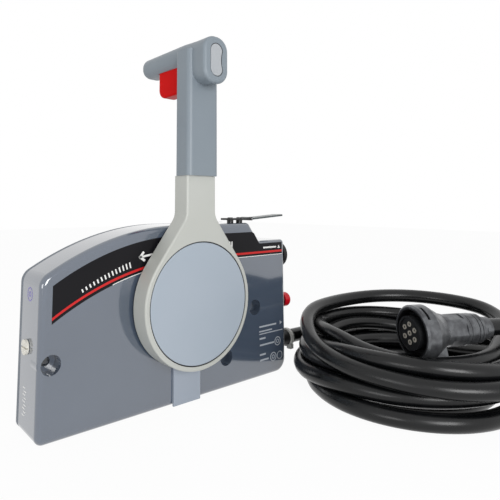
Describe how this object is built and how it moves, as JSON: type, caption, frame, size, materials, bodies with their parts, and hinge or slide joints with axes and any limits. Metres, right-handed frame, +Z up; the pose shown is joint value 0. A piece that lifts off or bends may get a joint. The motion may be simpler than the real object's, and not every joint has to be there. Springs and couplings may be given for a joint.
{
  "type": "boat throttle control lever",
  "caption": "Side-mount boat throttle and shift control: flat housing, upright lever with T-grip and neutral lock, key and stop switches, coiled harness with round connector.",
  "frame": {"origin": "middle of the housing's bottom face under the lever's axis, half way through the housing's depth", "axes": "+X aft along the housing, +Y towards the mounting panel, +Z up along the upright lever"},
  "size_m": [0.443, 0.2827, 0.3128],
  "materials": {
    "cover_grey": "glossy moulded plastic, slate grey",
    "plate_grey": "moulded plastic, darker slate",
    "strip_grey": "pale blue-grey moulded plastic",
    "lever_paint": "warm light grey paint on cast aluminium",
    "cap_grey": "satin moulded plastic, blue-grey",
    "grip_grey": "satin moulded plastic, slate",
    "plate_blank": "satin moulded plastic",
    "trigger_red": "red moulded plastic",
    "button_red": "red moulded plastic",
    "steel": "turned steel",
    "zinc": "zinc plated steel",
    "black_metal": "black painted steel",
    "black_plastic": "black moulded plastic",
    "chrome": "plated",
    "brass": "machined brass",
    "bush_white": "acetal",
    "rubber": "black rubber",
    "cable": "black vinyl sleeve",
    "tie_white": "white nylon",
    "connector_grey": "grey moulded nylon"
  },
  "bodies": {
    "housing": {"front_cover": "cover_grey", "back_plate": "plate_grey", "housing_screws": "zinc", "centre_strip": "strip_grey", "front_bush": "bush_white", "rear_bush": "bush_white", "lock_ring": "steel", "detent_ball": "chrome", "detent_spring": "steel", "detent_holder": "black_plastic", "detent_plug": "brass", "shift_stud": "steel", "throttle_stud": "steel", "friction_shoe": "black_plastic", "key_switch_barrel": "chrome", "key_switch_nut": "black_plastic", "stop_switch_barrel": "black_plastic", "stop_switch_nut": "black_plastic", "cable_grommets": "rubber", "fast_idle_bracket": "black_metal", "bracket_screws": "black_metal", "fast_idle_pin": "steel", "harness_boot": "rubber", "cable_tie": "tie_white", "harness_lead": "cable", "harness_coil": "cable", "harness_tail": "cable", "connector_collar": "connector_grey", "connector_insert": "black_plastic", "connector_sockets": "brass", "connector_body": "connector_grey", "connector_tail": "connector_grey"},
    "lever": {"control_lever": "lever_paint", "hub_cap": "cap_grey", "main_shaft": "steel", "gear_key": "steel", "lever_washer": "zinc", "lever_screw": "zinc", "shaft_retainer": "steel", "drive_gear": "steel", "grip": "grip_grey", "grip_end_plate": "plate_blank", "rod_guide": "bush_white", "lock_spring": "steel"},
    "neutral_lock": {"neutral_lock_trigger": "trigger_red", "lock_rod": "steel"},
    "shift_lever": {"shift_lever": "steel", "shift_cable_pin": "zinc"},
    "throttle_lever": {"throttle_lever": "steel", "throttle_cable_pin": "zinc"},
    "fast_idle_lever": {"fast_idle_lever": "zinc"},
    "key_rotor": {"key_rotor": "chrome"},
    "stop_button": {"stop_button": "button_red"},
    "friction_screw": {"friction_screw": "bush_white"}
  },
  "joints": [
    {"name": "lever_swing", "type": "hinge", "parent": "housing", "child": "lever", "pos_m": [0, 0, 0.086], "axis": [0, -1, 0], "range_deg": [-60, 75]},
    {"name": "neutral_lock_lift", "type": "slide", "parent": "lever", "child": "neutral_lock", "axis": [0, 0, 1], "range_m": [0, 0.006], "stiffness_N_per_m": 900, "springref_m": -0.004, "deforming": ["lock_spring"]},
    {"name": "shift_turn", "type": "hinge", "parent": "housing", "child": "shift_lever", "pos_m": [0, -0.006, 0.038], "axis": [0, -1, 0], "range_deg": [-38.5, 31]},
    {"name": "throttle_turn", "type": "hinge", "parent": "housing", "child": "throttle_lever", "pos_m": [-0.04251, 0.003, 0.0637], "axis": [0, -1, 0], "range_deg": [-38.5, 31]},
    {"name": "fast_idle_lift", "type": "hinge", "parent": "housing", "child": "fast_idle_lever", "pos_m": [0.0846, -0.00925, 0.154], "axis": [0, -1, 0], "range_deg": [0, 75]},
    {"name": "key_turn", "type": "hinge", "parent": "housing", "child": "key_rotor", "pos_m": [0.132, -0.0075, 0.1156], "axis": [1, 0, 0], "range_deg": [0, 90]},
    {"name": "stop_press", "type": "slide", "parent": "housing", "child": "stop_button", "axis": [-1, 0, 0], "range_m": [0, 0.004], "stiffness_N_per_m": 600, "springref_m": -0.003},
    {"name": "friction_turn", "type": "hinge", "parent": "housing", "child": "friction_screw", "pos_m": [-0.1285, 0.003, 0.0637], "axis": [1, 0, 0], "range_deg": [-180, 180]}
  ],
  "couplings": [
    {"joint": "shift_turn", "follows": "lever_swing", "ratio": -0.5},
    {"joint": "throttle_turn", "follows": "lever_swing", "ratio": -0.5}
  ]
}
